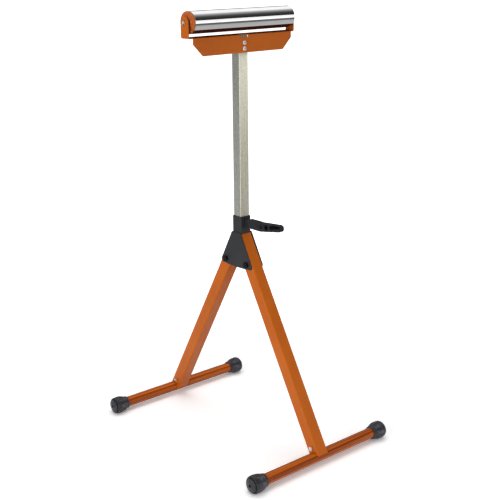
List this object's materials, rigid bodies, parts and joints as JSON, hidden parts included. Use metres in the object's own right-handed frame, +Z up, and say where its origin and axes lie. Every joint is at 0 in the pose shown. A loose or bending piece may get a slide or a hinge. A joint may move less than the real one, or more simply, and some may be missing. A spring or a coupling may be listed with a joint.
{
  "type": "roller stand",
  "caption": "Folding workshop roller stand: a chromed roller in a sheet cradle on a square post, set for height by a lever lock, on splayed legs with capped cross tubes.",
  "frame": {"origin": "on the floor, under the middle of the post", "axes": "+X along the roller to its right end, -Y towards the lever, +Z up"},
  "size_m": [0.4162, 0.568, 0.9955],
  "materials": {
    "orange_paint": "glossy powder coat",
    "orange_plastic": "satin",
    "chrome": "polished",
    "galvanised": "zinc plated, satin",
    "black_paint": "satin",
    "black_plastic": "satin",
    "black_rubber": "matt",
    "steel": "zinc plated",
    "black_steel": "blackened"
  },
  "bodies": {
    "yoke": {"sleeve": "black_paint", "cheek_left": "black_paint", "cheek_right": "black_paint", "pivot_bolt_front": "black_steel", "pivot_nut_front": "black_steel", "pivot_bush_front": "steel", "pivot_bolt_rear": "black_steel", "pivot_nut_rear": "black_steel", "pivot_bush_rear": "steel", "lever_bracket": "black_plastic", "lever_pin": "black_steel", "lever_pin_clip": "steel", "lever_spring": "steel"},
    "mast": {"post": "galvanised", "cradle": "orange_paint", "axle": "steel", "axle_nut_left": "steel", "axle_nut_right": "steel", "axle_spacer_left": "steel", "axle_spacer_right": "steel", "bearing_inner_left": "steel", "bearing_inner_right": "steel", "skirt_screw_upper": "steel", "skirt_screw_lower": "steel", "skirt_nut_upper": "steel", "skirt_nut_lower": "steel", "post_stop_rivet": "black_steel"},
    "roller": {"roller_tube": "chrome", "roller_cap_left": "orange_plastic", "roller_cap_right": "orange_plastic", "bearing_outer_left": "steel", "bearing_outer_right": "steel", "bearing_balls_left": "steel", "bearing_balls_right": "steel"},
    "lever": {"lever": "black_plastic"},
    "brake": {"brake_plunger": "steel", "brake_facing": "black_rubber"},
    "front_leg": {"leg_front": "orange_paint", "leg_spigot_front": "steel", "cross_tube_front": "orange_paint", "foot_bolt_front": "steel", "foot_nut_front": "steel", "end_cap_front_left": "black_rubber", "end_cap_front_right": "black_rubber"},
    "rear_leg": {"leg_rear": "orange_paint", "leg_spigot_rear": "steel", "cross_tube_rear": "orange_paint", "foot_bolt_rear": "steel", "foot_nut_rear": "steel", "end_cap_rear_left": "black_rubber", "end_cap_rear_right": "black_rubber"}
  },
  "joints": [
    {"name": "mast_slide", "type": "slide", "parent": "yoke", "child": "mast", "axis": [0, 0, 1], "range_m": [-0.365, 0]},
    {"name": "roller_spin", "type": "hinge", "parent": "mast", "child": "roller", "pos_m": [0, 0, 0.9715], "axis": [1, 0, 0], "continuous": true},
    {"name": "lever_swing", "type": "hinge", "parent": "yoke", "child": "lever", "pos_m": [0, -0.07245, 0.5165], "axis": [1, 0, 0], "range_deg": [0, 18], "stiffness_Nm_per_rad": 0.6, "springref_deg": -14.32},
    {"name": "brake_travel", "type": "slide", "parent": "yoke", "child": "brake", "axis": [0, -1, 0], "range_m": [0, 0.00082]},
    {"name": "front_leg_fold", "type": "hinge", "parent": "yoke", "child": "front_leg", "pos_m": [0, -0.0365, 0.4219], "axis": [1, 0, 0], "range_deg": [0, 29]},
    {"name": "rear_leg_fold", "type": "hinge", "parent": "yoke", "child": "rear_leg", "pos_m": [0, 0.0365, 0.4219], "axis": [-1, 0, 0], "range_deg": [0, 29]}
  ],
  "couplings": [
    {"joint": "brake_travel", "follows": "lever_swing", "m_per_rad": 0.0025}
  ]
}
